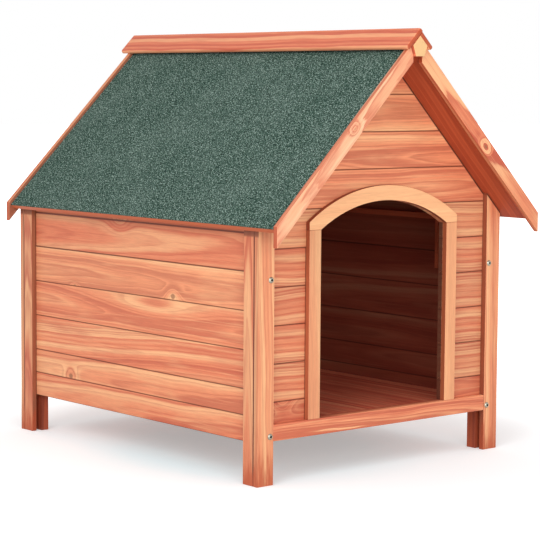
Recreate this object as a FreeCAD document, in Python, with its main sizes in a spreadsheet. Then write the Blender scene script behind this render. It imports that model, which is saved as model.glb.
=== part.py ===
"""A flat-pack dog house: boarded walls on legs, an arched doorway, a felted roof and a loose floor.

The frame stands with +Z up, +X to the right and the doorway facing -Y. The origin is on the ground,
under the middle of the whole outline. Driving sizes are in the sheet "sizes", in millimetres and
degrees. The variable set "layout" holds the lines and planes that several pieces share.
"""
import FreeCAD
import Part
import math
import os
import sys

import Sketcher

SIZES = {
    # walls and their frame
    "house_width": 720,
    "house_depth": 885,
    "frame_thickness": 12,
    "board_thickness": 12,
    "post_width": 43,
    "leg_width": 35.5,
    "corner_post_depth": 27,
    "wall_bottom": 92,
    "rail_height": 35,
    # tongue-and-groove boards
    "course_height": 80,
    "side_bottom": 88,
    "narrow_course_height": 55.5,
    "side_course_height": 82,
    "top_course_height": 112,
    "edge_ease": 1.0,
    "tongue_thickness": 4,
    "tongue_rise": 5,
    "tongue_clearance": 0.4,
    # doorway
    "door_width": 375,
    "door_side_height": 401,
    "arch_rise": 56,
    "trim_width": 33,
    # roof
    "roof_pitch": 45,
    "eave_gap": 2,
    "sheet_thickness": 12,
    "sheet_drop": 8.7,
    "sheet_eave_reach": 29,
    "felt_thickness": 2.5,
    "felt_end_clearance": 1,
    "rake_depth": 31,
    "rake_thickness": 12,
    "rake_eave_reach": 28.5,
    "rake_front_reach": 91,
    "rake_back_reach": 17,
    "roof_fit": 0.3,
    # ridge
    "beam_depth": 44,
    "beam_shoulder": 21,
    "beam_foot": 12.5,
    "cap_width": 45,
    "cap_thickness": 11,
    "cap_edge_radius": 4.5,
    "ridge_overhang": 7,
    "ridge_back_overhang": 15,
    # gable battens
    "batten_depth": 20,
    "batten_thickness": 18,
    # rails and cleats inside the side walls, under the roof
    "eave_rail_drop": 24,
    "eave_rail_height": 12.5,
    "eave_rail_thickness": 12,
    "cleat_inset": 138,
    "cleat_width": 11,
    "cleat_thickness": 10,
    "cleat_length": 115,
    # loose floor
    "bearer_width": 22,
    "bearer_height": 14,
    "middle_bearer_width": 40,
    "floor_thickness": 12,
    "floor_clearance": 1,
    "floor_batten_width": 32,
    "floor_batten_inset": 130,
    # corner bolts
    "bolt_inset": 34,
    "low_bolt_height": 103,
    "high_bolt_height": 430,
    "bolt_radius": 3,
    "bolt_clearance": 0.25,
    "bolt_length": 44,
    "head_radius": 6.5,
    "head_rim": 1,
    "head_crown_radius": 4.2,
    "head_height": 3.4,
    "socket_radius": 2.6,
    "socket_depth": 2,
}

NARROW_COURSES = 2
FULL_COURSES = 3
BACK_BOARDS = 6
FLOOR_BOARDS = 3
HEXAGON = 6

LAYOUT = {
    "front": "-(sizes.house_depth + sizes.rake_back_reach + sizes.ridge_back_overhang"
             " - sizes.rake_front_reach - sizes.ridge_overhang) / 2",
    "back": "layout.front + sizes.house_depth",
    "middle": "(layout.front + layout.back) / 2",
    "half_width": "sizes.house_width / 2",
    "board_front": "layout.front + sizes.frame_thickness",
    "inner_front": "layout.board_front + sizes.board_thickness",
    "inner_back": "2 * layout.middle - layout.inner_front",
    "board_side": "layout.half_width - sizes.frame_thickness",
    "inner_side": "layout.board_side - sizes.board_thickness",
    "post_side": "layout.half_width - sizes.post_width",
    "slope_cos": "cos(sizes.roof_pitch * 1 deg)",
    "slope_sin": "sin(sizes.roof_pitch * 1 deg)",
    "slope_tan": "layout.slope_sin / layout.slope_cos",
    # plumb depths under the roof plane, which is the one that the cap boards lie on
    "sheet_top": "sizes.sheet_drop / layout.slope_cos",
    "sheet_under": "(sizes.sheet_drop + sizes.sheet_thickness) / layout.slope_cos",
    "seat": "layout.sheet_under + sizes.roof_fit / layout.slope_cos",
    "side_top": f"sizes.side_bottom + {NARROW_COURSES} * sizes.narrow_course_height"
                f" + {FULL_COURSES} * sizes.side_course_height + sizes.top_course_height",
    "eave_rail_bottom": "layout.side_top - sizes.eave_rail_drop - sizes.eave_rail_height",
    "ridge": "layout.side_top + sizes.eave_gap + layout.sheet_under"
             " + layout.board_side * layout.slope_tan",
    "roof_front": "layout.front - sizes.rake_front_reach",
    "roof_back": "layout.back + sizes.rake_back_reach",
    "beam_front": "layout.roof_front - sizes.ridge_overhang",
    "beam_length": "layout.roof_back + sizes.ridge_back_overhang - layout.beam_front",
    "beam_bottom": "layout.ridge - sizes.beam_depth",
    "sill": "sizes.wall_bottom + sizes.rail_height",
    "door_half": "sizes.door_width / 2",
    "spring": "layout.sill + sizes.door_side_height",
    "arch_radius": "(layout.door_half ^ 2 + sizes.arch_rise ^ 2) / (2 * sizes.arch_rise)",
    "arch_centre": "layout.spring + sizes.arch_rise - layout.arch_radius",
    "trim_half": "layout.door_half + sizes.trim_width",
    "shoulder": "layout.arch_centre"
                " + sqrt((layout.arch_radius + sizes.trim_width) ^ 2 - layout.trim_half ^ 2)",
    "bearer_top": "sizes.wall_bottom + sizes.bearer_height",
    "floor_side": "layout.inner_side - sizes.floor_clearance",
    "floor_front": "layout.inner_front + sizes.floor_clearance",
    "floor_length": "layout.inner_back - layout.inner_front - 2 * sizes.floor_clearance",
    "floor_board": f"layout.floor_side / {FLOOR_BOARDS} - sizes.floor_clearance",
}

doc = FreeCAD.newDocument("dog_house")
nodes = {}


def make_sheet():
    """Writes every driving size into the sheet as a plain number with an alias."""
    sheet = doc.addObject("Spreadsheet::Sheet", "sizes")
    for row, (alias, value) in enumerate(SIZES.items(), start=1):
        sheet.set(f"A{row}", alias)
        sheet.set(f"B{row}", str(value))
        sheet.setAlias(f"B{row}", alias)
    doc.recompute()


def make_layout():
    """Works out the shared lines and planes from the sheet."""
    layout = doc.addObject("App::VarSet", "layout")
    for name in LAYOUT:
        layout.addProperty("App::PropertyFloat", name, "Lines")
    for name, formula in LAYOUT.items():
        layout.setExpression(name, formula)
    doc.recompute()
    return layout


def keep(piece, name):
    """Names a finished sub-part and lists it for writing."""
    piece.Label = name
    nodes[name] = piece
    return piece


def origin_plane(body, role):
    """Finds one of a body's own origin planes."""
    return next(plane for plane in body.Origin.OriginFeatures if plane.Role == role)


def pin_down(sketch, part, end, across, up, name):
    """Holds one sketch point at a distance across and up from the origin."""
    for kind, tag, formula in (("DistanceX", "across", across), ("DistanceY", "up", up)):
        if formula is None:
            continue
        index = sketch.addConstraint(Sketcher.Constraint(kind, -1, 1, part, end, 1.0))
        sketch.renameConstraint(index, f"{tag}_{name}")
        sketch.setExpression(f"Constraints.{tag}_{name}", formula)


def draw(body, role, corners, arcs=()):
    """Draws a closed outline on an origin plane.

    Each corner is a pair of formulas, across and up. arcs maps the edge that starts at a corner to
    the height of its centre. Such an edge turns anticlockwise, and its chord stays as a guide line.
    """
    sketch = body.newObject("Sketcher::SketchObject", f"{body.Name}_outline_{role[:2]}")
    sketch.AttachmentSupport = [(origin_plane(body, role), "")]
    sketch.MapMode = "FlatFace"
    count = len(corners)
    turn = 2 * math.pi / count
    rough = [FreeCAD.Vector(math.cos(turn * i), math.sin(turn * i), 0) for i in range(count)]
    for i in range(count):
        sketch.addGeometry(Part.LineSegment(rough[i], rough[(i + 1) % count]))
    for i in range(count):
        sketch.addConstraint(Sketcher.Constraint("Coincident", i, 2, (i + 1) % count, 1))
    for i, (across, up) in enumerate(corners):
        pin_down(sketch, i, 1, across, up, f"corner{i}")
    for chord, height in dict(arcs).items():
        doc.recompute()
        start = sketch.Geometry[chord].StartPoint
        end = sketch.Geometry[chord].EndPoint
        middle = (start + end) / 2
        circle = Part.Circle(middle, FreeCAD.Vector(0, 0, 1), (end - start).Length / 2)
        first = math.atan2(start.y - middle.y, start.x - middle.x)
        arc = sketch.addGeometry(Part.ArcOfCircle(circle, first, first + math.pi))
        sketch.toggleConstruction(chord)
        sketch.addConstraint(Sketcher.Constraint("Coincident", arc, 1, chord, 1))
        sketch.addConstraint(Sketcher.Constraint("Coincident", arc, 2, chord, 2))
        pin_down(sketch, arc, 3, None, height, f"centre{chord}")
    return sketch


def pad(name, role, corners, start, length, arcs=()):
    """Pads an outline along the axis square to its plane, from start over length."""
    body = doc.addObject("PartDesign::Body", name)
    sketch = draw(body, role, corners, arcs)
    solid = body.newObject("PartDesign::Pad", name + "_pad")
    solid.Profile = sketch
    solid.setExpression("Length", length)
    solid.Reversed = role == "XZ_Plane"
    sketch.Visibility = False
    axis = {"XY_Plane": "z", "XZ_Plane": "y", "YZ_Plane": "x"}[role]
    body.setExpression("Placement.Base." + axis, start)
    return body


def rectangle(low_across, low_up, high_across, high_up):
    """Corners of an upright rectangle, anticlockwise."""
    return [
        (low_across, low_up),
        (high_across, low_up),
        (high_across, high_up),
        (low_across, high_up),
    ]


def mirrored(source, name, axis, formula="0"):
    """The mirror image of a piece across a plane square to X or Y."""
    image = doc.addObject("Part::Mirroring", name)
    image.Source = source
    image.Normal = FreeCAD.Vector(1, 0, 0) if axis == "x" else FreeCAD.Vector(0, 1, 0)
    image.setExpression("Base." + axis, formula)
    return image


def across_house(source, name):
    """The same piece on the right side of the house."""
    return mirrored(source, name, "x")


def behind_house(source, name):
    """The same piece at the back wall."""
    return mirrored(source, name, "y", "layout.middle")


def four_corners(source, name):
    """A piece of the front left corner, with its images at the other three."""
    right = across_house(source, name + "_right")
    back = behind_house(source, name + "_back")
    return [source, right, back, across_house(back, name + "_back_right")]


def group(name, pieces):
    """Keeps several solids together in one object."""
    bundle = doc.addObject("Part::Compound", name)
    bundle.Links = pieces
    return bundle


def cut(base, tool, name):
    """A piece with everything in the tool taken out of it."""
    result = doc.addObject("Part::Cut", name)
    result.Base = base
    result.Tool = tool
    return result


def under_roof(across, depth):
    """Height on the right-hand slope, at a plumb depth under the roof plane."""
    return f"layout.ridge - ({across}) * layout.slope_tan - ({depth})"


def on_slope(along, depth):
    """Point on the right-hand slope: along it from the ridge, and square to it below."""
    across = f"({along}) * layout.slope_cos - ({depth}) * layout.slope_sin"
    up = f"layout.ridge - ({along}) * layout.slope_sin - ({depth}) * layout.slope_cos"
    return across, up


def beam_corners(room):
    """Five-sided ridge beam outline, grown all round by some room."""
    shoulder = f"(sizes.beam_shoulder + {room})"
    foot = f"(sizes.beam_foot + {room})"
    return [
        ("-" + foot, f"layout.beam_bottom - {room}"),
        (foot, f"layout.beam_bottom - {room}"),
        (shoulder, under_roof("sizes.beam_shoulder", "0")),
        ("0", "layout.ridge"),
        ("-" + shoulder, under_roof("sizes.beam_shoulder", "0")),
    ]


def doorway_corners():
    """Doorway outline above the sill, anticlockwise from its left foot."""
    return [
        ("-layout.door_half", "layout.sill"),
        ("layout.door_half", "layout.sill"),
        ("layout.door_half", "layout.spring"),
        ("-layout.door_half", "layout.spring"),
    ]


def make_cutters():
    """What the wall pieces are cut to: the roof line, the ridge beam, the doorway, the bolt holes."""
    reach = "layout.half_width + sizes.post_width"
    high = "layout.ridge + sizes.course_height"
    roof_line = pad(
        "roof_line",
        "XZ_Plane",
        [
            ("-(" + reach + ")", under_roof(reach, "layout.seat")),
            ("0", "layout.ridge - layout.seat"),
            (reach, under_roof(reach, "layout.seat")),
            (reach, high),
            ("-(" + reach + ")", high),
        ],
        "layout.roof_front",
        "layout.roof_back - layout.roof_front",
    )
    ridge_seat = pad(
        "ridge_seat",
        "XZ_Plane",
        beam_corners("sizes.roof_fit"),
        "layout.beam_front - sizes.roof_fit",
        "layout.beam_length + 2 * sizes.roof_fit",
    )
    doorway = pad(
        "doorway",
        "XZ_Plane",
        doorway_corners(),
        "layout.front",
        "sizes.frame_thickness + sizes.board_thickness",
        arcs={2: "layout.arch_centre"},
    )
    holes = []
    for level in ("low", "high"):
        hole = doc.addObject("Part::Cylinder", level + "_hole")
        hole.setExpression("Radius", "sizes.bolt_radius + sizes.bolt_clearance")
        hole.setExpression("Height", "sizes.bolt_length + sizes.bolt_clearance")
        hole.Placement = FreeCAD.Placement(
            FreeCAD.Vector(0, 0, 0), FreeCAD.Rotation(FreeCAD.Vector(1, 0, 0), -90)
        )
        hole.setExpression("Placement.Base.x", "sizes.bolt_inset - layout.half_width")
        hole.setExpression("Placement.Base.y", "layout.front")
        hole.setExpression("Placement.Base.z", f"sizes.{level}_bolt_height")
        holes += four_corners(hole, level + "_hole_image")
    bolt_holes = group("bolt_holes", holes)
    wall_line = group("wall_line", [roof_line, ridge_seat, doorway] + holes)
    return wall_line, ridge_seat, bolt_holes


def upright(name, outer, inner, start, depth):
    """A post on the left, from the ground to the underside of the roof, its top cut to the slope."""
    corners = [
        (f"-({outer})", "0"),
        (f"-({inner})", "0"),
        (f"-({inner})", under_roof(inner, "layout.seat")),
        (f"-({outer})", under_roof(outer, "layout.seat")),
    ]
    return pad(name, "XZ_Plane", corners, start, depth)


def make_frame(bolt_holes):
    """Corner posts, side legs, inner corner posts and rails."""
    post = upright(
        "post",
        "layout.half_width",
        "layout.post_side",
        "layout.front",
        "sizes.frame_thickness",
    )
    left_post = keep(cut(post, bolt_holes, "front_post_left"), "front_post_left")
    keep(across_house(left_post, "front_post_right"), "front_post_right")
    back_post = keep(behind_house(left_post, "back_post_left"), "back_post_left")
    keep(across_house(back_post, "back_post_right"), "back_post_right")

    leg = upright(
        "left_leg_front",
        "layout.half_width",
        "layout.board_side",
        "layout.board_front",
        "sizes.leg_width",
    )
    keep(leg, "left_leg_front")
    keep(across_house(leg, "right_leg_front"), "right_leg_front")
    back_leg = keep(behind_house(leg, "left_leg_back"), "left_leg_back")
    keep(across_house(back_leg, "right_leg_back"), "right_leg_back")

    inner = upright(
        "inner_post",
        "layout.inner_side",
        "layout.post_side",
        "layout.inner_front",
        "sizes.corner_post_depth",
    )
    bored = cut(inner, bolt_holes, "inner_post_bored")
    keep(group("corner_posts", four_corners(bored, "inner_post_image")), "corner_posts")

    rail = pad(
        "front_rail",
        "XZ_Plane",
        rectangle("-layout.post_side", "sizes.wall_bottom", "layout.post_side", "layout.sill"),
        "layout.front",
        "sizes.frame_thickness",
    )
    keep(rail, "front_rail")
    keep(behind_house(rail, "back_rail"), "back_rail")


def board_section(outer, inward, bottom, height, tongued, grooved):
    """Corners of a board's section. outer is its weather face, inward is + or - 1 across."""
    def face(depth):
        return f"{outer} + {inward} * ({depth})"

    top = f"{bottom} + {height}"
    middle = "sizes.board_thickness / 2"
    cheek = "sizes.tongue_thickness / 2"
    cheek_room = "(sizes.tongue_thickness / 2 + sizes.tongue_clearance / 2)"
    corners = [
        (face("sizes.edge_ease"), bottom),
        (face("0"), f"{bottom} + sizes.edge_ease"),
        (face("0"), f"{top} - sizes.edge_ease"),
        (face("sizes.edge_ease"), top),
    ]
    if tongued:
        tip = f"{top} + sizes.tongue_rise"
        corners += [
            (face(f"{middle} - {cheek}"), top),
            (face(f"{middle} - {cheek}"), tip),
            (face(f"{middle} + {cheek}"), tip),
            (face(f"{middle} + {cheek}"), top),
        ]
    corners += [(face("sizes.board_thickness"), top), (face("sizes.board_thickness"), bottom)]
    if grooved:
        root = f"{bottom} + sizes.tongue_rise + sizes.tongue_clearance"
        corners += [
            (face(f"{middle} + {cheek_room}"), bottom),
            (face(f"{middle} + {cheek_room}"), root),
            (face(f"{middle} - {cheek_room}"), root),
            (face(f"{middle} - {cheek_room}"), bottom),
        ]
    return corners


def make_gable_walls(courses, wall_line):
    """Front and back boards, course by course, cut to the roof line, the doorway and the holes."""
    gable = []
    for course in range(courses):
        last = course == courses - 1
        bottom = f"sizes.wall_bottom + {course} * sizes.course_height"
        height = f"layout.beam_bottom - sizes.roof_fit - ({bottom})" if last else "sizes.course_height"
        section = board_section("layout.board_front", 1, bottom, height, not last, course > 0)
        number = f"{course + 1:02d}"
        plank = pad("plank_" + number, "YZ_Plane", section, "-layout.board_side", "2 * layout.board_side")
        name = "front_board_" + number
        keep(cut(plank, wall_line, name), name)
        back_plank = behind_house(plank, "back_plank_" + number)
        if course < BACK_BOARDS:
            name = "back_board_" + number
            keep(cut(back_plank, wall_line, name), name)
        else:
            gable.append(cut(back_plank, wall_line, "back_gable_" + number))
    keep(group("back_gable_boards", gable), "back_gable_boards")


def make_side_walls():
    """Side boards: the narrow courses at the foot, the full ones, and a wide one under the eave."""
    bottom = "sizes.side_bottom"
    heights = ["narrow_course_height"] * NARROW_COURSES + ["side_course_height"] * FULL_COURSES
    heights.append("top_course_height")
    for course, height in enumerate(heights):
        last = course == len(heights) - 1
        section = board_section("-layout.board_side", 1, bottom, "sizes." + height, not last, course > 0)
        name = f"left_board_{course + 1}"
        board = pad(name, "XZ_Plane", section, "layout.inner_front", "layout.inner_back - layout.inner_front")
        keep(board, name)
        name = f"right_board_{course + 1}"
        keep(across_house(board, name), name)
        bottom += " + sizes." + height


def make_door_trim():
    """Two straight side trims on the rail and the arched head that sits on them."""
    trim = pad(
        "door_trim_left",
        "XZ_Plane",
        rectangle("-layout.trim_half", "layout.sill", "-layout.door_half", "layout.spring"),
        "layout.front",
        "sizes.frame_thickness",
    )
    keep(trim, "door_trim_left")
    keep(across_house(trim, "door_trim_right"), "door_trim_right")
    head = pad(
        "arch_blank",
        "XZ_Plane",
        [
            ("-layout.trim_half", "layout.spring"),
            ("layout.trim_half", "layout.spring"),
            ("layout.trim_half", "layout.shoulder"),
            ("-layout.trim_half", "layout.shoulder"),
        ],
        "layout.front",
        "sizes.frame_thickness",
        arcs={2: "layout.arch_centre"},
    )
    opening = pad(
        "arch_opening",
        "XZ_Plane",
        doorway_corners(),
        "layout.front",
        "sizes.frame_thickness",
        arcs={2: "layout.arch_centre"},
    )
    keep(cut(head, opening, "door_arch"), "door_arch")


def make_roof(ridge_seat):
    """Roof sheets with their felt, and the rakes that frame them at the front and back."""
    sheet_end = "(layout.half_width + sizes.sheet_eave_reach) / layout.slope_cos"
    sheet_start = "layout.roof_front + sizes.rake_thickness"
    sheet_length = "layout.roof_back - layout.roof_front - 2 * sizes.rake_thickness"
    sheet_under = "sizes.sheet_drop + sizes.sheet_thickness"
    felt_top = "sizes.sheet_drop - sizes.felt_thickness"
    sheet = pad(
        "sheet_blank",
        "XZ_Plane",
        [
            ("0", "layout.ridge - layout.sheet_under"),
            on_slope(sheet_end, sheet_under),
            on_slope(sheet_end, "sizes.sheet_drop"),
            ("0", "layout.ridge - layout.sheet_top"),
        ],
        sheet_start,
        sheet_length,
    )
    felt = pad(
        "felt_blank",
        "XZ_Plane",
        [
            ("0", "layout.ridge - layout.sheet_top"),
            on_slope(sheet_end, "sizes.sheet_drop"),
            on_slope(sheet_end, felt_top),
            ("0", f"layout.ridge - ({felt_top}) / layout.slope_cos"),
        ],
        f"{sheet_start} + sizes.felt_end_clearance",
        f"{sheet_length} - 2 * sizes.felt_end_clearance",
    )
    for blank, name in ((sheet, "roof_sheet"), (felt, "roof_felt")):
        right = keep(cut(blank, ridge_seat, name + "_right"), name + "_right")
        keep(across_house(right, name + "_left"), name + "_left")

    rake_start = "sizes.beam_foot + sizes.roof_fit"
    rake_end = "layout.half_width + sizes.rake_eave_reach"
    rake_under = "sizes.rake_depth / layout.slope_cos"
    rake_corners = [
        (rake_start, under_roof(rake_start, rake_under)),
        (rake_end, under_roof(rake_end, rake_under)),
        (rake_end, under_roof(rake_end, "0")),
        (rake_start, under_roof(rake_start, "0")),
    ]
    for place, start in (
        ("front", "layout.roof_front"),
        ("back", "layout.roof_back - sizes.rake_thickness"),
    ):
        blank = pad(f"rake_{place}_blank", "XZ_Plane", rake_corners, start, "sizes.rake_thickness")
        name = f"rake_{place}_right"
        right = keep(cut(blank, ridge_seat, name), name)
        keep(across_house(right, f"rake_{place}_left"), f"rake_{place}_left")


def round_long_edges(body, radius, wanted):
    """Rounds the edges along Y whose middle satisfies a test."""
    doc.recompute()
    pad_feature = body.Tip
    names = []
    for number, edge in enumerate(pad_feature.Shape.Edges, start=1):
        start, end = edge.Vertexes[0].Point, edge.Vertexes[-1].Point
        if not math.isclose(start.y, end.y) and wanted(edge.CenterOfMass):
            names.append(f"Edge{number}")
    fillet = body.newObject("PartDesign::Fillet", body.Name + "_rounding")
    fillet.Base = (pad_feature, names)
    fillet.setExpression("Radius", radius)
    body.Tip = fillet


def make_ridge(layout):
    """The ridge beam and its two cap boards. The left board laps over the edge of the right one."""
    length = "layout.beam_length"
    beam = pad("ridge_beam", "XZ_Plane", beam_corners("0"), "layout.beam_front", length)
    keep(beam, "ridge_beam")
    lap = (
        "sizes.cap_thickness / (2 * layout.slope_sin)",
        "layout.ridge + sizes.cap_thickness / (2 * layout.slope_cos)",
    )
    inner = on_slope("sizes.cap_width", "0")
    outer = on_slope("sizes.cap_width", "-sizes.cap_thickness")
    right = pad(
        "ridge_cap_right",
        "XZ_Plane",
        [("0", "layout.ridge"), inner, outer, lap],
        "layout.beam_front",
        length,
    )
    left = pad(
        "ridge_cap_left",
        "XZ_Plane",
        [
            (f"-({inner[0]})", inner[1]),
            lap,
            ("0", "layout.ridge + sizes.cap_thickness / layout.slope_cos"),
            (f"-({outer[0]})", outer[1]),
        ],
        "layout.beam_front",
        length,
    )
    for board, name in ((right, "ridge_cap_right"), (left, "ridge_cap_left")):
        round_long_edges(board, "sizes.cap_edge_radius", lambda middle: middle.z < layout.ridge)
        keep(board, name)


def make_gable_battens(wall_line):
    """Battens inside the gables, under the roof sheets, that the gable boards are fixed to."""
    start = "sizes.beam_foot + sizes.roof_fit"
    foot = "layout.seat + sizes.batten_depth / layout.slope_cos"
    corners = [
        (f"-({start})", under_roof(start, foot)),
        (f"-({start})", under_roof(start, "layout.seat")),
        ("-layout.post_side", under_roof("layout.post_side", "layout.seat")),
        ("-layout.post_side", under_roof("layout.post_side", foot)),
    ]
    blank = pad("batten_blank", "XZ_Plane", corners, "layout.inner_front", "sizes.batten_thickness")
    batten = cut(blank, wall_line, "batten")
    keep(group("gable_battens", four_corners(batten, "batten_image")), "gable_battens")


def box(name, low, size):
    """A plain board, from its lowest corner and its size, both three formulas."""
    board = doc.addObject("Part::Box", name)
    for axis, formula in zip("xyz", low):
        board.setExpression("Placement.Base." + axis, formula)
    for side, formula in zip(("Length", "Width", "Height"), size):
        board.setExpression(side, formula)
    return board


def make_eave_rails():
    """A rail along each side wall under the roof, with a short cleat hanging from it near each end."""
    rail = box(
        "eave_rail",
        (
            "-layout.inner_side",
            "layout.inner_front + sizes.corner_post_depth",
            "layout.eave_rail_bottom",
        ),
        (
            "sizes.eave_rail_thickness",
            "layout.inner_back - layout.inner_front - 2 * sizes.corner_post_depth",
            "sizes.eave_rail_height",
        ),
    )
    cleat = box(
        "cleat",
        (
            "-layout.inner_side",
            "layout.inner_front + sizes.cleat_inset",
            "layout.eave_rail_bottom - sizes.cleat_length",
        ),
        ("sizes.cleat_thickness", "sizes.cleat_width", "sizes.cleat_length"),
    )
    rails = [rail, across_house(rail, "eave_rail_right")]
    keep(group("eave_rails", rails + four_corners(cleat, "cleat_image")), "eave_rails")


def make_floor():
    """Three fixed bearers, and two loose floor halves of boards on battens."""
    gap = "sizes.floor_clearance"
    side_length = "layout.inner_back - layout.inner_front - 2 * sizes.corner_post_depth"
    side = box(
        "side_bearer",
        ("-layout.inner_side", "layout.inner_front + sizes.corner_post_depth", "sizes.wall_bottom"),
        ("sizes.bearer_width", side_length, "sizes.bearer_height"),
    )
    middle = box(
        "middle_bearer",
        ("-sizes.middle_bearer_width / 2", "layout.inner_front", "sizes.wall_bottom"),
        ("sizes.middle_bearer_width", "layout.inner_back - layout.inner_front", "sizes.bearer_height"),
    )
    keep(group("floor_bearers", [side, across_house(side, "right_bearer"), middle]), "floor_bearers")

    notch = box(
        "post_notch",
        ("-layout.inner_side", "layout.inner_front", "layout.bearer_top"),
        (
            f"layout.inner_side - layout.post_side + {gap}",
            f"sizes.corner_post_depth + {gap}",
            "sizes.floor_thickness",
        ),
    )
    notches = group("post_notches", [notch, behind_house(notch, "post_notch_back")])
    boards = []
    for number in range(FLOOR_BOARDS):
        low = f"-layout.floor_side + {number} * (layout.floor_board + {gap})"
        board = box(
            f"floor_board_{number + 1}",
            (low, "layout.floor_front", "layout.bearer_top"),
            ("layout.floor_board", "layout.floor_length", "sizes.floor_thickness"),
        )
        boards.append(cut(board, notches, board.Name + "_notched"))
    batten_start = f"-layout.inner_side + sizes.bearer_width + {gap}"
    batten = box(
        "floor_batten",
        (batten_start, "layout.floor_front + sizes.floor_batten_inset", f"sizes.wall_bottom + {gap}"),
        (
            f"layout.inner_side - sizes.bearer_width - sizes.middle_bearer_width / 2 - 2 * {gap}",
            "sizes.floor_batten_width",
            f"sizes.bearer_height - {gap}",
        ),
    )
    pieces = boards + [batten, behind_house(batten, "floor_batten_back")]
    keep(group("floor_left", pieces), "floor_left")
    images = [across_house(piece, piece.Name + "_image") for piece in pieces]
    keep(group("floor_right", images), "floor_right")


def make_bolt(level):
    """One bolt of the front left corner: a bevelled head with a hexagonal socket, on a plain shank."""
    bolt = doc.addObject("PartDesign::Body", level + "_bolt")
    corners = [
        ("0", "-sizes.bolt_length"),
        ("sizes.bolt_radius", "-sizes.bolt_length"),
        ("sizes.bolt_radius", "0"),
        ("sizes.head_radius", "0"),
        ("sizes.head_radius", "sizes.head_rim"),
        ("sizes.head_crown_radius", "sizes.head_height"),
        ("0", "sizes.head_height"),
    ]
    profile = draw(bolt, "XZ_Plane", corners)
    turned = bolt.newObject("PartDesign::Revolution", level + "_bolt_turned")
    turned.Profile = profile
    turned.ReferenceAxis = (profile, ["V_Axis"])
    turned.Angle = 360
    hexagon = []
    for corner in range(HEXAGON):
        angle = f"({corner} * 360 deg / {HEXAGON})"
        hexagon.append((f"sizes.socket_radius * cos{angle}", f"sizes.socket_radius * sin{angle}"))
    doc.recompute()
    socket_outline = draw(bolt, "XY_Plane", hexagon)
    socket_outline.setExpression("AttachmentOffset.Base.z", "sizes.head_height")
    socket = bolt.newObject("PartDesign::Pocket", level + "_bolt_socket")
    socket.Profile = socket_outline
    socket.setExpression("Length", "sizes.socket_depth")
    bolt.Placement = FreeCAD.Placement(
        FreeCAD.Vector(0, 0, 0), FreeCAD.Rotation(FreeCAD.Vector(1, 0, 0), 90)
    )
    bolt.setExpression("Placement.Base.x", "sizes.bolt_inset - layout.half_width")
    bolt.setExpression("Placement.Base.y", "layout.front")
    bolt.setExpression("Placement.Base.z", f"sizes.{level}_bolt_height")
    return bolt


def make_bolts():
    """Two bolts at each corner, through the post and board into the inner corner post."""
    bolts = []
    for level in ("low", "high"):
        bolts += four_corners(make_bolt(level), level + "_bolt_image")
    keep(group("corner_bolts", bolts), "corner_bolts")


def check_and_write():
    """Stops on any failed object or bad shape, then writes one file for each sub-part."""
    doc.recompute()
    faults = []
    for thing in doc.Objects:
        if "Invalid" in thing.State or "Error" in thing.State:
            faults.append(f"{thing.Name}: {thing.State}")
    for name, piece in nodes.items():
        shape = piece.Shape
        if shape.isNull() or not shape.isValid() or not shape.Solids or shape.Volume <= 0:
            faults.append(f"{name}: bad shape")
    if faults:
        print("\n".join(faults))
        sys.exit(1)
    os.makedirs("parts", exist_ok=True)
    for name, piece in nodes.items():
        piece.Shape.exportStep(f"parts/{name}.step")
    print(f"{len(nodes)} sub-parts written")


def main():
    make_sheet()
    layout = make_layout()
    courses = round((layout.beam_bottom - SIZES["wall_bottom"]) / SIZES["course_height"])
    wall_line, ridge_seat, bolt_holes = make_cutters()
    make_frame(bolt_holes)
    make_gable_walls(courses, wall_line)
    make_side_walls()
    make_door_trim()
    make_roof(ridge_seat)
    make_ridge(layout)
    make_gable_battens(wall_line)
    make_eave_rails()
    make_floor()
    make_bolts()
    check_and_write()


main()
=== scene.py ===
"""A stained wooden dog house with a green felt roof, dressed for a photograph-like view.

Every CAD node is shown as it was packed. Modifiers ease the sawn edges, and procedural materials
give each board its own grain, knots and stain, with painted shade inside the house, under the
eaves and in the gaps by the roof. Lengths are in metres, angles in degrees, and colours are
linear.
"""
import math
import random

import bpy
from mathutils import Matrix, Vector


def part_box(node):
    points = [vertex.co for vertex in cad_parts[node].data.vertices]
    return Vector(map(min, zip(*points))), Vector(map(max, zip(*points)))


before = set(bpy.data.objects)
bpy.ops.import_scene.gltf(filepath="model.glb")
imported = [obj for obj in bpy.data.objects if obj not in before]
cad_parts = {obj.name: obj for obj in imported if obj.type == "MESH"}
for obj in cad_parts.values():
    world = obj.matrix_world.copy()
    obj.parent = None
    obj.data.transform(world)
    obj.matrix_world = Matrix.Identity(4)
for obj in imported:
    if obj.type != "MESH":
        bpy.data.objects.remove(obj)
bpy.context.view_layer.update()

# Sizes and counts of the CAD model.
GABLE_COURSES = 10
WALL_COURSES = 6
DOOR_COURSES = 5  # those that end at the doorway's trims
COURSE = 0.080
SLOPE = 45.0
BOLT_RADIUS = 0.0065
RAKE_WIDTH = 0.031
FLOOR_BOARD = 0.11167
ROOF_DISTANCE = 0.62  # from the origin to about the roof, square to its slope
EAVE_SHADE = 0.012  # how far the eave's shade reaches below the roof sheets

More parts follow.
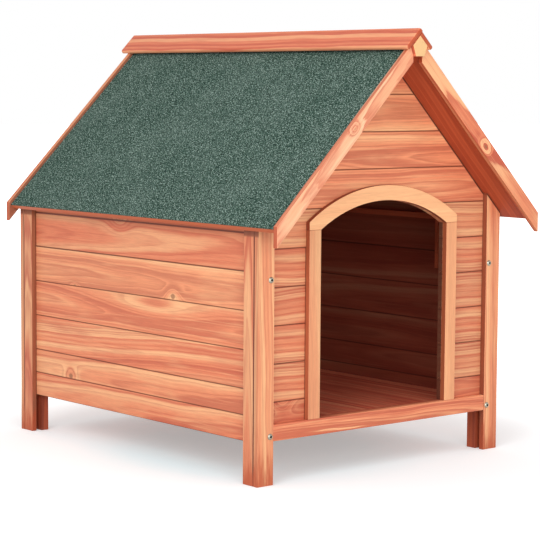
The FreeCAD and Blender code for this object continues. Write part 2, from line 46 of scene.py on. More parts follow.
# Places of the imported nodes.
WALL_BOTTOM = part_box("front_rail")[0].z
BOLT_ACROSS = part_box("corner_bolts")[1].x - BOLT_RADIUS
BOLT_HEIGHTS = (
    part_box("corner_bolts")[0].z + BOLT_RADIUS,
    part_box("corner_bolts")[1].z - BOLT_RADIUS,
)
LEG_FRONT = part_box("left_leg_front")[0].y
LEG_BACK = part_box("left_leg_back")[1].y
ROOF_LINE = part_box("front_post_right")[1].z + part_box("front_post_right")[0].x
UNDER_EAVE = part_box("roof_sheet_left")[0].z - EAVE_SHADE
POST_STOPS = (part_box("front_post_left")[1].x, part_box("front_post_right")[0].x)
TRIM_STOPS = (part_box("door_trim_left")[0].x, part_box("door_trim_right")[1].x)
SIDE_STOPS = (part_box("left_leg_front")[1].y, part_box("left_leg_back")[0].y)
SIDE_EDGES = [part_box(f"left_board_{number}")[0].z for number in range(1, WALL_COURSES + 1)]
SIDE_EDGES.append(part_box("left_board_6")[1].z)

# Stains, from pale to dark, with the colours of painted shade among them.
CREAM = (0.960, 0.530, 0.260)
PEACH = (0.940, 0.480, 0.240)
PALE = (0.820, 0.520, 0.240)
SALMON = (0.790, 0.245, 0.118)
BRICK = (0.530, 0.105, 0.053)
SHEET_EDGE = (0.560, 0.130, 0.048)
RUST = (0.420, 0.068, 0.022)
SIENNA = (0.340, 0.066, 0.023)
KNOT = (0.290, 0.120, 0.055)
MAHOGANY = (0.250, 0.034, 0.012)
POST_SIDE = (0.240, 0.052, 0.022)
# Painted shade: the eave's shadow on posts and legs, and the shade on the legs' narrow faces.
UMBER_SHADE = (0.230, 0.065, 0.030)
SHADE = (0.100, 0.016, 0.006)
CUT_END = (0.075, 0.022, 0.012)
INSIDE_SHADE = (0.52, 0.35, 0.38)  # painted shade: multiplies the stain on inner faces, inside the house

# The light, middle and dark stain of a board.
STAINS = (PEACH, SALMON, BRICK)
FADED = ((0.980, 0.600, 0.370), (0.900, 0.420, 0.230), (0.660, 0.200, 0.105))
# Roof sheets' plywood stain, darker than the walls' partly as painted shade under the roof.
PLY_AND_SHADE = ((0.49, 0.088, 0.030), (0.40, 0.063, 0.020), (0.28, 0.038, 0.013))
# Painted shade: darker copies of the stains, for the eave rails inside the house and the corner
# posts in its shade.
SHADE_DIMMED = ((0.48, 0.105, 0.045), (0.38, 0.075, 0.032), (0.25, 0.045, 0.020))
SHADED = ((0.42, 0.085, 0.035), (0.33, 0.060, 0.025), (0.20, 0.035, 0.015))

FELT_DARK = (0.003, 0.014, 0.010)
FELT_GREEN = (0.033, 0.077, 0.056)
FELT_LIGHT = (0.330, 0.420, 0.370)
GRANULES = 560.0  # per metre of felt
ZINC_DARK = (0.21, 0.20, 0.155)
ZINC_LIGHT = (0.54, 0.52, 0.43)
SOCKET_SHADE = (0.010, 0.008, 0.006)
SOCKET_SHADE_RIM = (0.0031, 0.0023)  # radii between which a bolt's socket takes painted shade

# The log that the boards are sawn from. A pair of numbers is where a smooth step starts and ends.
RING_PROFILE = ((0.0, 0.05), (0.05, 0.0), (0.55, 0.08), (0.86, 0.95), (0.95, 0.95), (1.0, 0.05))
FAINTEST_YEARS = 0.05  # the share of years whose ring doesn't show
OTHER_BANDS = 71.3  # a step along the noise, so that the pale bands differ from the dark ones
PITH_SWAY = 0.028
SLOW_STIR = 0.009  # how far the rings are stirred over long stretches, and over short ones
QUICK_STIR = 0.0020
KNOT_PUSH = 2.6  # how far a knot pushes the rings aside, in its own sizes
KNOT_FADE = 0.20
KNOT_HEART = (0.80, 0.45)
LOG_LENGTH = 5.0
NEXT_BOARD = (3.0, 0.06, 0.03)  # how far apart in the log the boards of one node may lie

# Stains, joints and painted shade on the boards. A groove is how dark it is, and half how wide.
TONE_SHARE = 0.6
GROOVE = (0.40, 0.0006)
BOARD_GROOVE = (0.7, 0.0008)
SIDE_GROOVE = (0.72, 0.0007)
EAVE_GAP_SHADE = (0.85, 0.0012)
LEG_GROOVE = (0.95, 0.0032)
EAVE_LINE = 0.0048  # height of the painted shade line in the eave's gap, above UNDER_EAVE
JOINT_BLUR = 0.0014
ROOF_GAP_SHADE = (0.0058, 0.0040)
ROOF_GAP_DARKNESS = 0.95
EDGE_ON = (0.50, 0.70)  # how squarely a narrow face has to face its axis, and a broad one
FACE_ON = (0.5, 0.9)
END_COLOUR_SHARE = 0.92
EAVE_SHADOW_STRENGTH = 0.85
TOP_FADE = (-0.003, 0.002)  # about the height above which a post's outer side gets a painted eave shadow
FOOT_STAIN = 0.75
FOOT_REACH = (0.075, 0.005)
FOOT_WICK = 0.16

# Eased edges.
EASE = 0.0012
EASE_SEGMENTS = 2
WELD = 0.00002
FLAT_WITHIN = 0.5
SHARP_FROM = 50

# The view, the light and the floor.
CAMERA_PLACE = (-2.8884, -3.4101, 0.8278)
CAMERA_YAW, CAMERA_PITCH, CAMERA_ROLL = 40.462, 5.455, 0.394
FOCAL_PIXELS, PICTURE_PIXELS = 1925.2, 540
SENSOR = 36.0  # in millimetres, as Blender has it
FAR_CLIP = 100.0
HOUSE_MIDDLE = (0.0, 0.0, 0.5)
WORLD_STRENGTH = 0.70
WHITE = (1.0, 1.0, 1.0)
FLOOR_GREY = (0.70, 0.70, 0.70)
FLOOR_NEAR = (0.55, 0.70, 0.74)
FLOOR_AWAY = (0.78, 0.80, 0.81)
FLOOR_REACH = 30.0
FLOOR_HEIGHT = -0.0003
SHADOW_MIDDLE = (-0.10, -0.08, 0.0)
SHADOW_TINT = (0.20, 0.46)  # from the shadow's middle, where the near colour gives way
SHADOW_FADE = (0.62, 1.20, 0.34, 1.0)  # the same for the floor's glow, and the glow at both

AXES = {"x": 0, "y": 1, "z": 2}
FAR = 1.0  # further than any joint


class Web:
    """Adds and links the nodes of one shader tree."""

    def __init__(self, tree):
        self.tree = tree

    def plug(self, socket, value):
        """Links a socket, or sets a number or a colour."""
        if isinstance(value, bpy.types.NodeSocket):
            self.tree.links.new(value, socket)
        elif socket.type == "RGBA" and len(value) == 3:
            socket.default_value = (*value, 1.0)
        else:
            socket.default_value = value

    def add(self, kind, settings=None, inputs=None):
        node = self.tree.nodes.new("ShaderNode" + kind)
        for name, value in (settings or {}).items():
            setattr(node, name, value)
        for name, value in (inputs or {}).items():
            self.plug(node.inputs[name], value)
        return node

    def math(self, operation, *values, clamp=False):
        node = self.add("Math", {"operation": operation, "use_clamp": clamp})
        for socket, value in zip(node.inputs, values):
            self.plug(socket, value)
        return node.outputs[0]

    def times(self, product, *factors):
        """The product of all the values."""
        for factor in factors:
            product = self.math("MULTIPLY", product, factor)
        return product

    def vector(self, operation, *values):
        node = self.add("VectorMath", {"operation": operation})
        for socket, value in zip(node.inputs, values):
            self.plug(socket, value)
        return node.outputs["Value" if operation in ("LENGTH", "DISTANCE") else "Vector"]

    def split(self, vector):
        return self.add("SeparateXYZ", inputs={0: vector}).outputs

    def join(self, x, y, z):
        return self.add("CombineXYZ", inputs={0: x, 1: y, 2: z}).outputs[0]

    def noise(self, vector, scale, detail=2.0, roughness=0.5):
        inputs = {"Vector": vector, "Scale": scale, "Detail": detail, "Roughness": roughness}
        return self.add("TexNoise", inputs=inputs).outputs["Fac"]

    def grain(self, place, along, across, detail=2.0, roughness=0.5):
        """Noise with so many features per metre along a board, and so many across it."""
        stretched = self.vector("MULTIPLY", place, (along, across, across))
        return self.noise(stretched, 1.0, detail, roughness)

    def bands(self, value, scale, detail, roughness):
        """Noise along one number."""
        inputs = {"W": value, "Scale": scale, "Detail": detail, "Roughness": roughness}
        return self.add("TexNoise", {"noise_dimensions": "1D"}, inputs).outputs["Fac"]

    def swing(self, noise, reach):
        """Noise turned into a shift of half the reach either way."""
        return self.math("MULTIPLY_ADD", noise, reach, -reach / 2)

    def chance(self, number):
        """A random value and colour for each number."""
        return self.add("TexWhiteNoise", {"noise_dimensions": "1D"}, {"W": number}).outputs

    def span(self, value, low, high, to_low=0.0, to_high=1.0):
        """A smooth step from low to high."""
        inputs = {
            "Value": value, "From Min": low, "From Max": high, "To Min": to_low, "To Max": to_high,
        }
        return self.add("MapRange", {"interpolation_type": "SMOOTHSTEP"}, inputs).outputs["Result"]

    def nearest(self, value, lines, nearest=FAR):
        """How far a value is from the nearest of some lines."""
        for line in lines:
            away = self.math("ABSOLUTE", self.math("SUBTRACT", value, line))
            nearest = self.math("MINIMUM", nearest, away)
        return nearest

    def mix(self, factor, first, second, blend="MIX"):
        node = self.add("Mix", {"data_type": "RGBA", "blend_type": blend, "clamp_factor": True})
        # The colour sockets of a Mix node share their names with others, so they go by number.
        for number, value in ((0, factor), (6, first), (7, second)):
            self.plug(node.inputs[number], value)
        return node.outputs[2]

    def scaled(self, colour, factor):
        node = self.add("VectorMath", {"operation": "SCALE"}, {0: colour, "Scale": factor})
        return node.outputs["Vector"]

    def ramp(self, value, stops):
        """A grey ramp through pairs of a place and a level."""
        node = self.add("ValToRGB", inputs={"Fac": value})
        elements = node.color_ramp.elements
        while len(elements) < len(stops):
            elements.new(0.5)
        for element, (place, level) in zip(elements, stops):
            element.position = place
            element.color = (level, level, level, 1.0)
        return node.outputs["Color"]


def make_wood_group():
    """Sawn stained softwood, which each board's material uses.

    Vector is along, across and through the board, measured from the log's pith, and Tilt is how
    the pith slants. Bend and Core come from the knots, and Groove darkens the joints and the
    painted shade lines by the roof.
    """
    group = bpy.data.node_groups.new("stained_softwood", "ShaderNodeTree")
    for direction, sockets in (
        ("INPUT", {
            "Vector": "Vector", "Tilt": "Vector", "Spacing": "Float", "Bend": "Float",
            "Core": "Float", "Groove": "Float", "Contrast": "Float",
            "Light": "Color", "Middle": "Color", "Dark": "Color",
        }),
        ("OUTPUT", {"Colour": "Color", "Height": "Float"}),
    ):
        for name, kind in sockets.items():
            group.interface.new_socket(name=name, in_out=direction, socket_type="NodeSocket" + kind)
    web = Web(group)
    given = group.nodes.new("NodeGroupInput").outputs
    place = given["Vector"]
    along, across, through = web.split(place)[:3]
    _, tilt_across, tilt_through = web.split(given["Tilt"])[:3]

    # The rings: distance from a wandering pith, stirred a little, and pushed aside by knots.
    from_pith_across = web.math("MULTIPLY_ADD", along, tilt_across, across)
    sway = web.swing(web.grain(place, along=2.6, across=0.5), PITH_SWAY)
    from_pith_across = web.math("ADD", from_pith_across, sway)
    from_pith_through = web.math("MULTIPLY_ADD", along, tilt_through, through)
    radius = web.vector("LENGTH", web.join(from_pith_across, from_pith_through, 0.0))
    slow = web.swing(web.grain(place, along=2.4, across=16.0), SLOW_STIR)
    quick = web.swing(web.grain(place, along=14.0, across=110.0), QUICK_STIR)
    radius = web.math("ADD", web.math("ADD", radius, slow), quick)
    rings = web.math("DIVIDE", web.math("ADD", radius, given["Bend"]), given["Spacing"])
    late = web.ramp(web.math("FRACT", rings), RING_PROFILE)
    year = web.chance(web.math("FLOOR", rings))["Value"]
    late = web.times(late, web.math("SUBTRACT", year, FAINTEST_YEARS, clamp=True))

    # The stain follows the growth in broad bands, then patches, rings, streaks and fibres.
    growth = web.bands(rings, scale=0.42, detail=3.0, roughness=0.55)
    pale = web.bands(web.math("ADD", rings, OTHER_BANDS), scale=0.30, detail=2.0, roughness=0.5)
    blush = web.grain(place, along=3.0, across=15.0, detail=3.0, roughness=0.6)
    streak = web.grain(place, along=3.4, across=170.0, detail=3.0, roughness=0.6)
    fibre = web.grain(place, along=26.0, across=620.0, detail=3.0, roughness=0.7)
    light, dark, contrast = given["Light"], given["Dark"], given["Contrast"]
    colour = web.mix(web.span(pale, 0.46, 0.56), given["Middle"], light)
    for share, stain in (
        (web.times(web.span(growth, 0.52, 0.61), contrast, 0.85), dark),
        (web.times(web.span(blush, 0.50, 0.68), 0.40), dark),
        (web.times(web.span(blush, 0.46, 0.32), 0.35), light),
        (web.times(late, contrast, 0.80), dark),
        (web.times(web.span(streak, 0.52, 0.70), 0.34), dark),
        (web.times(web.span(streak, 0.46, 0.30), 0.36), light),
    ):
        colour = web.mix(share, colour, stain)
    colour = web.scaled(colour, web.math("MULTIPLY_ADD", fibre, 0.50, 0.76))
    colour = web.mix(given["Core"], colour, KNOT)
    colour = web.mix(given["Groove"], colour, SHADE)

    out = group.nodes.new("NodeGroupOutput")
    web.plug(out.inputs["Colour"], colour)
    web.plug(out.inputs["Height"], web.math("MULTIPLY_ADD", fibre, 0.6, web.times(late, 0.5)))
    return group


def knot_field(web, place, knots):
    """How far knots push the rings aside, and where their dark hearts are.

    A knot is along, across, size, how much longer than wide it is, and how dark its heart is.
    """
    bend, core = 0.0, 0.0
    for along, across, size, longer, dark in knots:
        offset = web.vector("SUBTRACT", place, (along, across, 0.0))
        flat = web.vector("MULTIPLY", offset, (1.0 / (longer * size), 1.0 / size, 0.0))
        away = web.vector("LENGTH", flat)
        push = web.math("EXPONENT", web.times(away, away, -KNOT_FADE))
        bend = web.math("ADD", bend, web.times(push, KNOT_PUSH * size))
        if dark:
            core = web.math("MAXIMUM", core, web.times(web.span(away, *KNOT_HEART), dark))
    return bend, core


def third_axis(grain, across):
    """The axis through a board."""
    return (set(AXES) - {grain, across}).pop()


def board_place(web, grain, across, lean):
    """Object coordinates as along, across and through a board, and the normal likewise."""
    coordinates = web.add("TexCoord")
    turned = []
    for output in ("Object", "Normal"):
        vector = coordinates.outputs[output]
        if lean:
            turn = (0.0, math.radians(lean), 0.0)
            inputs = {"Vector": vector, "Rotation": turn}
            vector = web.add("Mapping", {"vector_type": "POINT"}, inputs).outputs["Vector"]
        parts = web.split(vector)
        order = (grain, across, third_axis(grain, across))
        turned.append(web.join(*(parts[AXES[axis]] for axis in order)))
    return turned


def board_centre(name, grain, across, lean):
    """About where a board's middle lies, across and through it."""
    low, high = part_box(name)
    middle = (low + high) / 2
    if not lean:
        return Vector((0.0, middle[AXES[across]], middle[AXES[third_axis(grain, across)]]))
    if across != "z":
        return Vector((0.0, middle.y, ROOF_DISTANCE))
    turn = math.radians(abs(lean))
    outer = high.z * math.cos(turn) + min(abs(low.x), abs(high.x)) * math.sin(turn)
    return Vector((0.0, outer - RAKE_WIDTH / 2, 0.0))


def draw_log(name, pith, spacing, tilt):
    """The pith, ring spacing and tilt of a board where none are given, and its place in the log."""
    rng = random.Random(name)
    flat_sawn = rng.uniform(-0.03, 0.03), rng.choice((-1, 1)) * rng.uniform(0.010, 0.045)
    spacing = spacing or rng.uniform(0.008, 0.012)
    start = rng.uniform(0.0, LOG_LENGTH)
    tilt = tilt or (rng.uniform(-0.015, 0.015), rng.choice((-1, 1)) * rng.uniform(0.010, 0.035))
    return pith or flat_sawn, spacing, tilt, start


def tinted(stains, tone, level):
    """Stains drawn towards cream by a tone above 0 and towards brick by one below, then scaled."""
    target = CREAM if tone > 0 else BRICK
    share = abs(tone) * TONE_SHARE
    return [
        tuple(level * (own + (other - own) * share) for own, other in zip(stain, target))
        for stain in stains
    ]


def joint_lines(web, along, across, seams, stops, groove, under_roof):
    """How dark a board is at its joints, and in its painted shade under the roof."""
    depth, half_width = groove
    nearest = web.nearest(along, stops, web.nearest(across, seams))
    dark = web.times(web.span(nearest, half_width + JOINT_BLUR, half_width), depth)
    # Painted shade in the gap where a wall meets the roof.
    if under_roof:
        spread = web.math("ADD", web.math("ABSOLUTE", along), web.math("ABSOLUTE", across))
        below = web.math("SUBTRACT", ROOF_LINE, spread)
        line = web.times(web.span(below, *ROOF_GAP_SHADE), ROOF_GAP_DARKNESS)
        dark = web.math("MAXIMUM", dark, line)
    return dark


def end_and_edge_share(web, facing, edges):
    """How much a face takes end_colour: the cut ends, and the narrow faces by edges, which on the
    legs is painted shade.
    """
    cut = web.span(web.math("ABSOLUTE", facing[0]), *EDGE_ON)
    for sign, amount in zip((-1.0, 1.0), edges):
        narrow = web.span(web.times(facing[1], sign), *EDGE_ON)
        cut = web.math("MAXIMUM", cut, web.times(narrow, amount))
    return web.times(cut, END_COLOUR_SHARE)


def new_material(name):
    material = bpy.data.materials.new(name)
    material.use_nodes = True
    tree = material.node_tree
    tree.nodes.clear()
    return material, Web(tree)


def finish_material(web, colour, height, roughness, bump, distance, metallic=0.0, specular=0.35):
    relief = web.add("Bump", inputs={"Strength": bump, "Distance": distance, "Height": height})
    shader = web.add("BsdfPrincipled", inputs={
        "Base Color": colour, "Roughness": roughness, "Metallic": metallic,
        "Specular IOR Level": specular, "Normal": relief.outputs["Normal"],
    })
    web.add("OutputMaterial", inputs={"Surface": shader.outputs["BSDF"]})


def wood(
    name, grain, across, lean=0.0, tone=0.0, level=1.0, contrast=1.0, colours=STAINS,
    spacing=None, pith=None, tilt=None, knots=(), cells=None,
    seams=(), stops=(), groove=GROOVE, under_roof=False,
    end_colour=RUST, edges=(), inside=None, top=None, foot=False,
):
    """A wood material for one node, with its own place in its own log.

    grain and across are the axes along and across the board, after a turn by lean about y. tone
    runs from dark and red below 0 to pale above it, level scales the stain, and colours are its
    light, middle and dark. spacing, pith and tilt place the rings. cells is an axis, a start and
    a step, for several boards in one node.

    seams are the joints across the board, stops are where other pieces cross it, and groove is how
    dark and half how wide both are. under_roof adds a painted shade line in the gap where a wall
    meets the roof. edges is how much the narrow faces towards the low and the high side take
    end_colour, as the cut ends do; on the legs that is painted shade. inside is the sign of the
    inner face, and how light the painted shade on that face is. top is the height above which a
    post's or leg's outer side gets a painted shadow of the eave, and the part and sign of the
    normal that faces out there. foot is for a post's stained foot.
    """
    material, web = new_material(name + "_wood")
    place, normal = board_place(web, grain, across, lean)
    spread, facing = web.split(place), web.split(normal)
    pith, spacing, tilt, start = draw_log(name, pith, spacing, tilt)
    # The tilt turns about the board's middle, wherever along the log it starts.
    centre = board_centre(name, grain, across, lean)
    shift = Vector((start, *pith)) - centre - start * Vector((0.0, *tilt))
    sawn = web.vector("ADD", place, tuple(shift))
    if cells:
        axis, first, step = cells
        number = web.math("DIVIDE", web.math("SUBTRACT", spread[axis], first), step)
        chance = web.chance(web.math("FLOOR", number))["Color"]
        sawn = web.vector("ADD", sawn, web.vector("MULTIPLY", chance, NEXT_BOARD))

    bend, core = knot_field(web, place, knots)
    light, middle, dark = tinted(colours, tone, level)
    board = web.add("Group", {"node_tree": WOOD}, {
        "Vector": sawn, "Tilt": (0.0, *tilt), "Spacing": spacing, "Contrast": contrast,
        "Bend": bend, "Core": core, "Light": light, "Middle": middle, "Dark": dark,
        "Groove": joint_lines(web, spread[0], spread[1], seams, stops, groove, under_roof),
    })
    colour = web.mix(end_and_edge_share(web, facing, edges), board.outputs["Colour"], end_colour)
    # Painted shade on the inner faces, which lie inside the house.
    if inside:
        sign, share = inside
        dimmed = web.mix(1.0, colour, tuple(share * channel for channel in INSIDE_SHADE), "MULTIPLY")
        inner = web.span(web.times(facing[2], float(sign)), *FACE_ON)
        colour = web.mix(inner, colour, dimmed)
    # Painted shadow of the eave on the outer side of a post or leg, near its top.
    if top:
        height, side, sign = top
        above = web.span(spread[0], *(height + step for step in TOP_FADE))
        outer = web.span(web.times(facing[side], sign), *FACE_ON)
        colour = web.mix(web.times(above, outer, EAVE_SHADOW_STRENGTH), colour, UMBER_SHADE)
    if foot:
        wick = web.grain(place, along=14.0, across=150.0, detail=3.0, roughness=0.6)
        height = web.math("ADD", spread[0], web.swing(wick, FOOT_WICK))
        colour = web.mix(web.times(web.span(height, *FOOT_REACH), FOOT_STAIN), colour, RUST)
    finish_material(
        web, colour, board.outputs["Height"], roughness=0.55, bump=0.25, distance=0.0006,
    )
    return material


def felt(name):
    """Bitumen felt under green mineral granules, light and dark."""
    material, web = new_material(name + "_granules")
    place = web.add("TexCoord").outputs["Object"]
    inputs = {"Vector": place, "Scale": GRANULES, "Randomness": 1.0}
    grains = web.add("TexVoronoi", {"feature": "F1"}, inputs)
    shade = web.split(grains.outputs["Color"])[0]
    clumps = web.noise(place, scale=360.0, roughness=0.6)
    broad = web.noise(place, scale=9.0, detail=3.0)
    level = web.math("ADD", web.times(shade, 0.50), web.times(web.span(clumps, 0.32, 0.68), 0.50))
    colour = web.mix(web.span(level, 0.20, 0.55), FELT_DARK, FELT_GREEN)
    colour = web.mix(web.span(level, 0.55, 0.92), colour, FELT_LIGHT)
    colour = web.mix(web.times(web.span(broad, 0.35, 0.70), 0.06), colour, FELT_LIGHT)
    dips = web.times(grains.outputs["Distance"], -0.6)
    height = web.math("ADD", dips, web.times(clumps, 0.6))
    finish_material(
        web, colour, height, roughness=0.9, bump=0.5, distance=0.0012, specular=0.15,
    )
    return material


def zinc():
    """Zinc plating on the bolt heads, with painted shade in each one's socket."""
    material, web = new_material("zinc_plating")
    place = web.add("TexCoord").outputs["Object"]
    spangle = web.noise(place, scale=900.0)
    x, _, z = web.split(place)[:3]
    sideways = web.math("SUBTRACT", web.math("ABSOLUTE", x), BOLT_ACROSS)
    from_axis = web.vector("LENGTH", web.join(sideways, web.nearest(z, BOLT_HEIGHTS), 0.0))
    colour = web.mix(spangle, ZINC_DARK, ZINC_LIGHT)
    # Painted shade in the hollow of the socket.
    colour = web.mix(web.span(from_axis, *SOCKET_SHADE_RIM), colour, SOCKET_SHADE)
    roughness = web.math("MULTIPLY_ADD", spangle, 0.2, 0.28)
    finish_material(
        web, colour, spangle, roughness, bump=0.1, distance=0.0002, metallic=1.0, specular=0.5,
    )
    return material


def give(name, material):
    """Puts a material on every slot of a node."""
    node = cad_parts[name]
    if not node.material_slots:
        node.data.materials.append(material)
    for slot in node.material_slots:
        slot.link = "OBJECT"
        slot.material = material


def ease(name):
    """Softens the sharp edges of a node."""
    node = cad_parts[name]
    weld = node.modifiers.new("weld", "WELD")
    weld.merge_threshold = WELD
    flat = node.modifiers.new("flat", "DECIMATE")
    flat.decimate_type = "DISSOLVE"
    flat.angle_limit = math.radians(FLAT_WITHIN)
    bevel = node.modifiers.new("ease", "BEVEL")
    bevel.width = EASE
    bevel.segments = EASE_SEGMENTS
    bevel.limit_method = "ANGLE"
    bevel.angle_limit = math.radians(SHARP_FROM)
    bevel.use_clamp_overlap = True


def frame_looks():
    """The looks of the framing, the trims, the roof and the floor."""
    looks = {
        "corner_posts": dict(grain="z", across="x", colours=SHADED),
        "eave_rails": dict(grain="y", across="z", colours=SHADE_DIMMED),
        "gable_battens": dict(grain="x", across="y", tone=-0.2),
        "floor_bearers": dict(grain="y", across="x", tone=-0.2),
        "back_rail": dict(grain="x", across="z", tone=0.1),
        "front_rail": dict(
            grain="x", across="z", tone=0.1, contrast=1.1,
            spacing=0.007, pith=(0.012, 0.010), tilt=(0.015, 0.03),
        ),
        "door_trim_left": dict(
            grain="z", across="x", tone=0.6, level=0.84, contrast=0.6,
            end_colour=SIENNA, edges=(0.85, 1.0),
        ),
        "door_trim_right": dict(
            grain="z", across="x", tone=0.9, level=0.94, contrast=0.5,
            end_colour=SIENNA, edges=(1.0, 0.85),
        ),
        "door_arch": dict(
            grain="x", across="z", tone=1.3, contrast=0.9, spacing=0.008,
            end_colour=MAHOGANY, edges=(1.0, 1.0),
        ),
        "rake_front_left": dict(
            grain="x", across="z", lean=SLOPE, level=0.95, contrast=1.4, colours=FADED,
            spacing=0.0032, pith=(0.022, 0.010), tilt=(0.03, 0.02),
            edges=(0.65, 0.65), knots=[(0.398, 0.6505, 0.004, 1.6, 0.4)],
        ),
        "rake_front_right": dict(
            grain="x", across="z", lean=-SLOPE, tone=-0.1, level=0.95, contrast=1.3,
            spacing=0.0034, pith=(0.022, 0.010), tilt=(0.035, 0.02),
            edges=(0.65, 0.65), knots=[(-0.3436, 0.6445, 0.0048, 1.6, 0.8)],
        ),
        "ridge_beam": dict(grain="y", across="x", tone=-0.5, end_colour=PALE),
        "ridge_cap_left": dict(
            grain="y", across="x", lean=SLOPE, tone=-0.7, contrast=1.1, spacing=0.004,
        ),
        "ridge_cap_right": dict(grain="y", across="x", lean=-SLOPE, tone=-0.4, contrast=0.8),
    }
    for side, lean in (("left", SLOPE), ("right", -SLOPE)):
        looks["rake_back_" + side] = dict(
            grain="x", across="z", lean=lean, tone=0.3, contrast=0.8,
            inside=(-1, 0.7), edges=(0.65, 0.65),
        )
        looks["roof_sheet_" + side] = dict(
            grain="x", across="y", lean=lean, contrast=0.3, spacing=0.006,
            colours=PLY_AND_SHADE, end_colour=SHEET_EDGE,
        )
        looks["floor_" + side] = dict(
            grain="y", across="x", tone=-0.3, cells=(1, 0.0, FLOOR_BOARD), inside=(1, 1.75),
        )
    return looks


def post_looks():
    """The looks of the corner posts on both gable walls, and of the side walls' legs."""
    looks = {}
    for end, tone, joint in (("front", 0.30, LEG_FRONT), ("back", 0.2, LEG_BACK)):
        for side, sign, pith, level, edges in (
            ("left", -1.0, (0.035, 0.03), 0.89, (0.3, 1.0)),
            ("right", 1.0, (-0.03, 0.03), 0.96, (1.0, 0.3)),
        ):
            # Posts and legs get a painted shadow of the eave at the top of their outer sides.
            looks[f"{end}_post_{side}"] = dict(
                grain="z", across="x", tone=tone, level=level, contrast=0.9,
                spacing=0.007, pith=pith, foot=True, under_roof=True,
                end_colour=POST_SIDE, edges=edges, top=(UNDER_EAVE, 1, sign),
            )
            # The legs' narrow faces take the dark end colour as painted shade of the step beside
            # the boards.
            looks[f"{side}_leg_{end}"] = dict(
                grain="z", across="y", tone=-0.15, level=0.84, spacing=0.006, foot=True,
                end_colour=UMBER_SHADE, edges=(0.9, 0.9), top=(UNDER_EAVE, 2, sign),
                seams=(joint,), groove=LEG_GROOVE,
            )
    return looks


def gable_wall_looks():
    """The looks of the front wall's ten courses, and of the back wall's."""
    looks = {
        "back_gable_boards": dict(
            grain="x", across="z", cells=(1, WALL_BOTTOM, COURSE), inside=(-1, 2.0),
            seams=tuple(
                WALL_BOTTOM + number * COURSE for number in range(WALL_COURSES, GABLE_COURSES)
            ),
            under_roof=True,
        ),
    }
    for number in range(GABLE_COURSES):
        seams = (WALL_BOTTOM + number * COURSE, WALL_BOTTOM + (number + 1) * COURSE)
        # Painted light: the gable's courses are lighter against the shade of the roof's overhang,
        # and the lower courses darker against the light they catch.
        looks[f"front_board_{number + 1:02d}"] = dict(
            grain="x", across="z", level=0.86 if number < WALL_COURSES else 1.03,
            seams=seams, stops=POST_STOPS + TRIM_STOPS if number < DOOR_COURSES else POST_STOPS,
            groove=BOARD_GROOVE, under_roof=True, inside=(1, 1.0), end_colour=CUT_END,
        )
        if number < WALL_COURSES:
            looks[f"back_board_{number + 1:02d}"] = dict(
                grain="x", across="z", seams=seams, under_roof=True,
                inside=(-1, 1.8 + 0.06 * number),
            )
    looks["front_board_01"].update(
        tone=-0.3, spacing=0.010, knots=[(-0.281, WALL_BOTTOM + COURSE, 0.013, 1.0, 0.0)],
    )
    for number, tone in ((2, -0.2), (3, 0.0), (4, -0.4), (5, -0.1), (6, 0.2)):
        looks[f"front_board_{number:02d}"].update(
            tone=tone, spacing=0.012,
            pith=(-0.09 if number % 2 else 0.10, 0.02), tilt=(0.004, 0.01),
        )
    looks["front_board_07"].update(
        tone=0.2, spacing=0.010, pith=(0.010, 0.016), tilt=(-0.02, 0.035),
    )
    for number, tone in ((8, 0.25), (9, 0.45), (10, 0.35)):
        looks[f"front_board_{number:02d}"].update(tone=tone, contrast=1.25, spacing=0.008)
    return looks


def side_wall_looks():
    """The looks of the side walls' six courses, with the left wall's knots as photographed."""
    looks = {}
    for number in range(1, WALL_COURSES + 1):
        for side, sign, own in (("left", 1, {"level": 0.93}), ("right", -1, {"contrast": 0.55})):
            looks[f"{side}_board_{number}"] = dict(
                grain="y", across="z", seams=tuple(SIDE_EDGES[number - 1 : number + 1]),
                stops=SIDE_STOPS, groove=SIDE_GROOVE, inside=(sign, 0.57), **own,
            )
    for side in ("left", "right"):
        # Painted shade: the gap under the roof's edge is drawn as a dark line, with the board's top
        # hidden above it.
        looks[f"{side}_board_6"].update(
            seams=(SIDE_EDGES[5], UNDER_EAVE + EAVE_LINE), groove=EAVE_GAP_SHADE,
        )
    looks["left_board_6"].update(
        tone=-0.45, contrast=0.8, spacing=0.008, knots=[(0.090, 0.525, 0.010, 1.6, 0.0)],
    )
    looks["left_board_5"].update(
        tone=0.35, contrast=1.1, spacing=0.009,
        knots=[(-0.107, 0.371, 0.009, 1.3, 0.8), (0.266, 0.364, 0.005, 1.6, 0.5)],
    )
    looks["left_board_4"].update(
        tone=0.1, contrast=0.75, spacing=0.009, knots=[(-0.027, 0.339, 0.012, 9.0, 0.0)],
    )
    looks["left_board_3"].update(
        tone=0.0, contrast=0.7, spacing=0.009, pith=(0.06, 0.02), tilt=(0.05, 0.02),
    )
    looks["left_board_2"].update(
        tone=0.2, contrast=1.1, spacing=0.009, knots=[(0.283, 0.150, 0.009, 1.3, 0.8)],
    )
    looks["left_board_1"].update(tone=-0.1, contrast=0.9, spacing=0.009)
    return looks


def dress_house():
    """Gives every node its material, and eases the pieces whose edges show."""
    for looks in (frame_looks(), post_looks(), gable_wall_looks(), side_wall_looks()):
        for name, look in looks.items():
            give(name, wood(name, **look))
    for side in ("left", "right"):
        give("roof_felt_" + side, felt("roof_felt_" + side))
    give("corner_bolts", zinc())
    for name in (
        "front_post_left", "front_post_right", "back_post_left", "back_post_right",
        "left_leg_front", "left_leg_back", "right_leg_front", "right_leg_back",
        "front_rail", "back_rail", "door_trim_left", "door_trim_right", "door_arch",
        "rake_front_left", "rake_front_right", "rake_back_left", "rake_back_right",
        "roof_sheet_left", "roof_sheet_right", "ridge_beam", "corner_posts",
    ):
        ease(name)


def seen_directly(web):
    """1 for rays that show the surroundings to the camera, also by reflection or through glass."""
    path = web.add("LightPath").outputs
    turned = web.math("MAXIMUM", path["Is Glossy Ray"], path["Is Transmission Ray"])
    return web.math("MAXIMUM", path["Is Camera Ray"], turned)


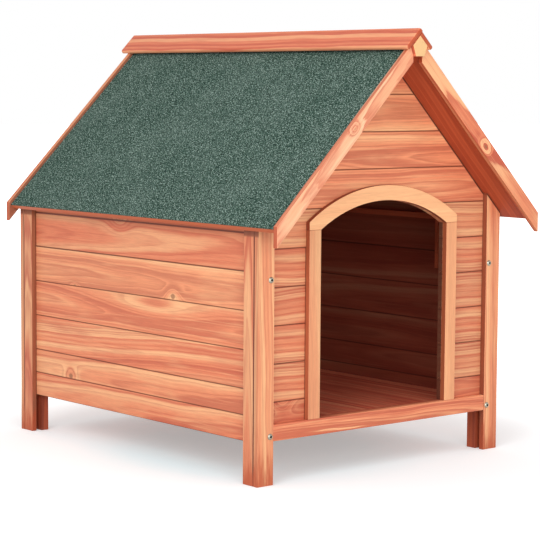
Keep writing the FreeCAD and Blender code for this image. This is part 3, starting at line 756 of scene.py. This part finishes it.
def make_floor():
    """A pale floor that shows white to the camera, with the house's shadow on it."""
    mesh = bpy.data.meshes.new("floor")
    reach = FLOOR_REACH
    sides = ((-reach, -reach), (reach, -reach), (reach, reach), (-reach, reach))
    mesh.from_pydata([(x, y, FLOOR_HEIGHT) for x, y in sides], [], [(0, 1, 2, 3)])
    floor = bpy.data.objects.new("floor", mesh)
    bpy.context.scene.collection.objects.link(floor)
    material, web = new_material("pale_floor")
    seen = seen_directly(web)
    away = web.vector("DISTANCE", web.add("TexCoord").outputs["Object"], SHADOW_MIDDLE)
    # Bluer close to the house, against the brown light that its wood throws on the floor.
    shown = web.mix(web.span(away, *SHADOW_TINT), FLOOR_NEAR, FLOOR_AWAY)
    diffuse = web.add("BsdfDiffuse", inputs={"Color": web.mix(seen, FLOOR_GREY, shown)})
    glow = web.times(seen, web.span(away, *SHADOW_FADE))
    light = web.add("Emission", inputs={"Color": WHITE, "Strength": glow})
    both = web.add("AddShader", inputs={0: diffuse.outputs[0], 1: light.outputs[0]})
    web.add("OutputMaterial", inputs={"Surface": both.outputs[0]})
    mesh.materials.append(material)


def make_world():
    """An even soft light from all round, white where the camera sees it."""
    world = bpy.data.worlds.new("studio")
    bpy.context.scene.world = world
    world.use_nodes = True
    world.node_tree.nodes.clear()
    web = Web(world.node_tree)
    strength = web.math("MULTIPLY_ADD", seen_directly(web), 1.0 - WORLD_STRENGTH, WORLD_STRENGTH)
    background = web.add("Background", inputs={"Color": WHITE, "Strength": strength})
    web.add("OutputWorld", inputs={"Surface": background.outputs[0]})


def make_lamp(name, place, size, power):
    """A round soft lamp that faces the house."""
    lamp = bpy.data.lights.new(name, "AREA")
    lamp.shape = "DISK"
    lamp.size = size
    lamp.energy = power
    thing = bpy.data.objects.new(name, lamp)
    thing.location = place
    aim = Vector(HOUSE_MIDDLE) - Vector(place)
    thing.rotation_euler = aim.to_track_quat("-Z", "Y").to_euler()
    bpy.context.scene.collection.objects.link(thing)


def make_camera():
    """A long lens at the photograph's angle, aimed without any shift."""
    yaw, pitch, roll = (math.radians(turn) for turn in (CAMERA_YAW, CAMERA_PITCH, CAMERA_ROLL))
    forward = Vector((
        math.sin(yaw) * math.cos(pitch), math.cos(yaw) * math.cos(pitch), -math.sin(pitch),
    ))
    level = Vector((math.cos(yaw), -math.sin(yaw), 0.0))
    upright = level.cross(forward)
    right = math.cos(roll) * level + math.sin(roll) * upright
    up = math.cos(roll) * upright - math.sin(roll) * level
    camera = bpy.data.cameras.new("photo_view")
    camera.sensor_width = SENSOR
    camera.lens = FOCAL_PIXELS / PICTURE_PIXELS * SENSOR
    camera.clip_end = FAR_CLIP
    thing = bpy.data.objects.new("photo_view", camera)
    turn = Matrix((right, up, -forward)).transposed()
    thing.matrix_world = Matrix.Translation(CAMERA_PLACE) @ turn.to_4x4()
    bpy.context.scene.collection.objects.link(thing)
    bpy.context.scene.camera = thing


WOOD = make_wood_group()
dress_house()
make_floor()
make_world()
make_lamp("key", (-4.2, -2.2, 3.0), size=3.0, power=110.0)
make_lamp("front", (-2.1, -4.4, 1.3), size=2.4, power=85.0)
make_camera()
bpy.context.scene.view_settings.view_transform = "Standard"
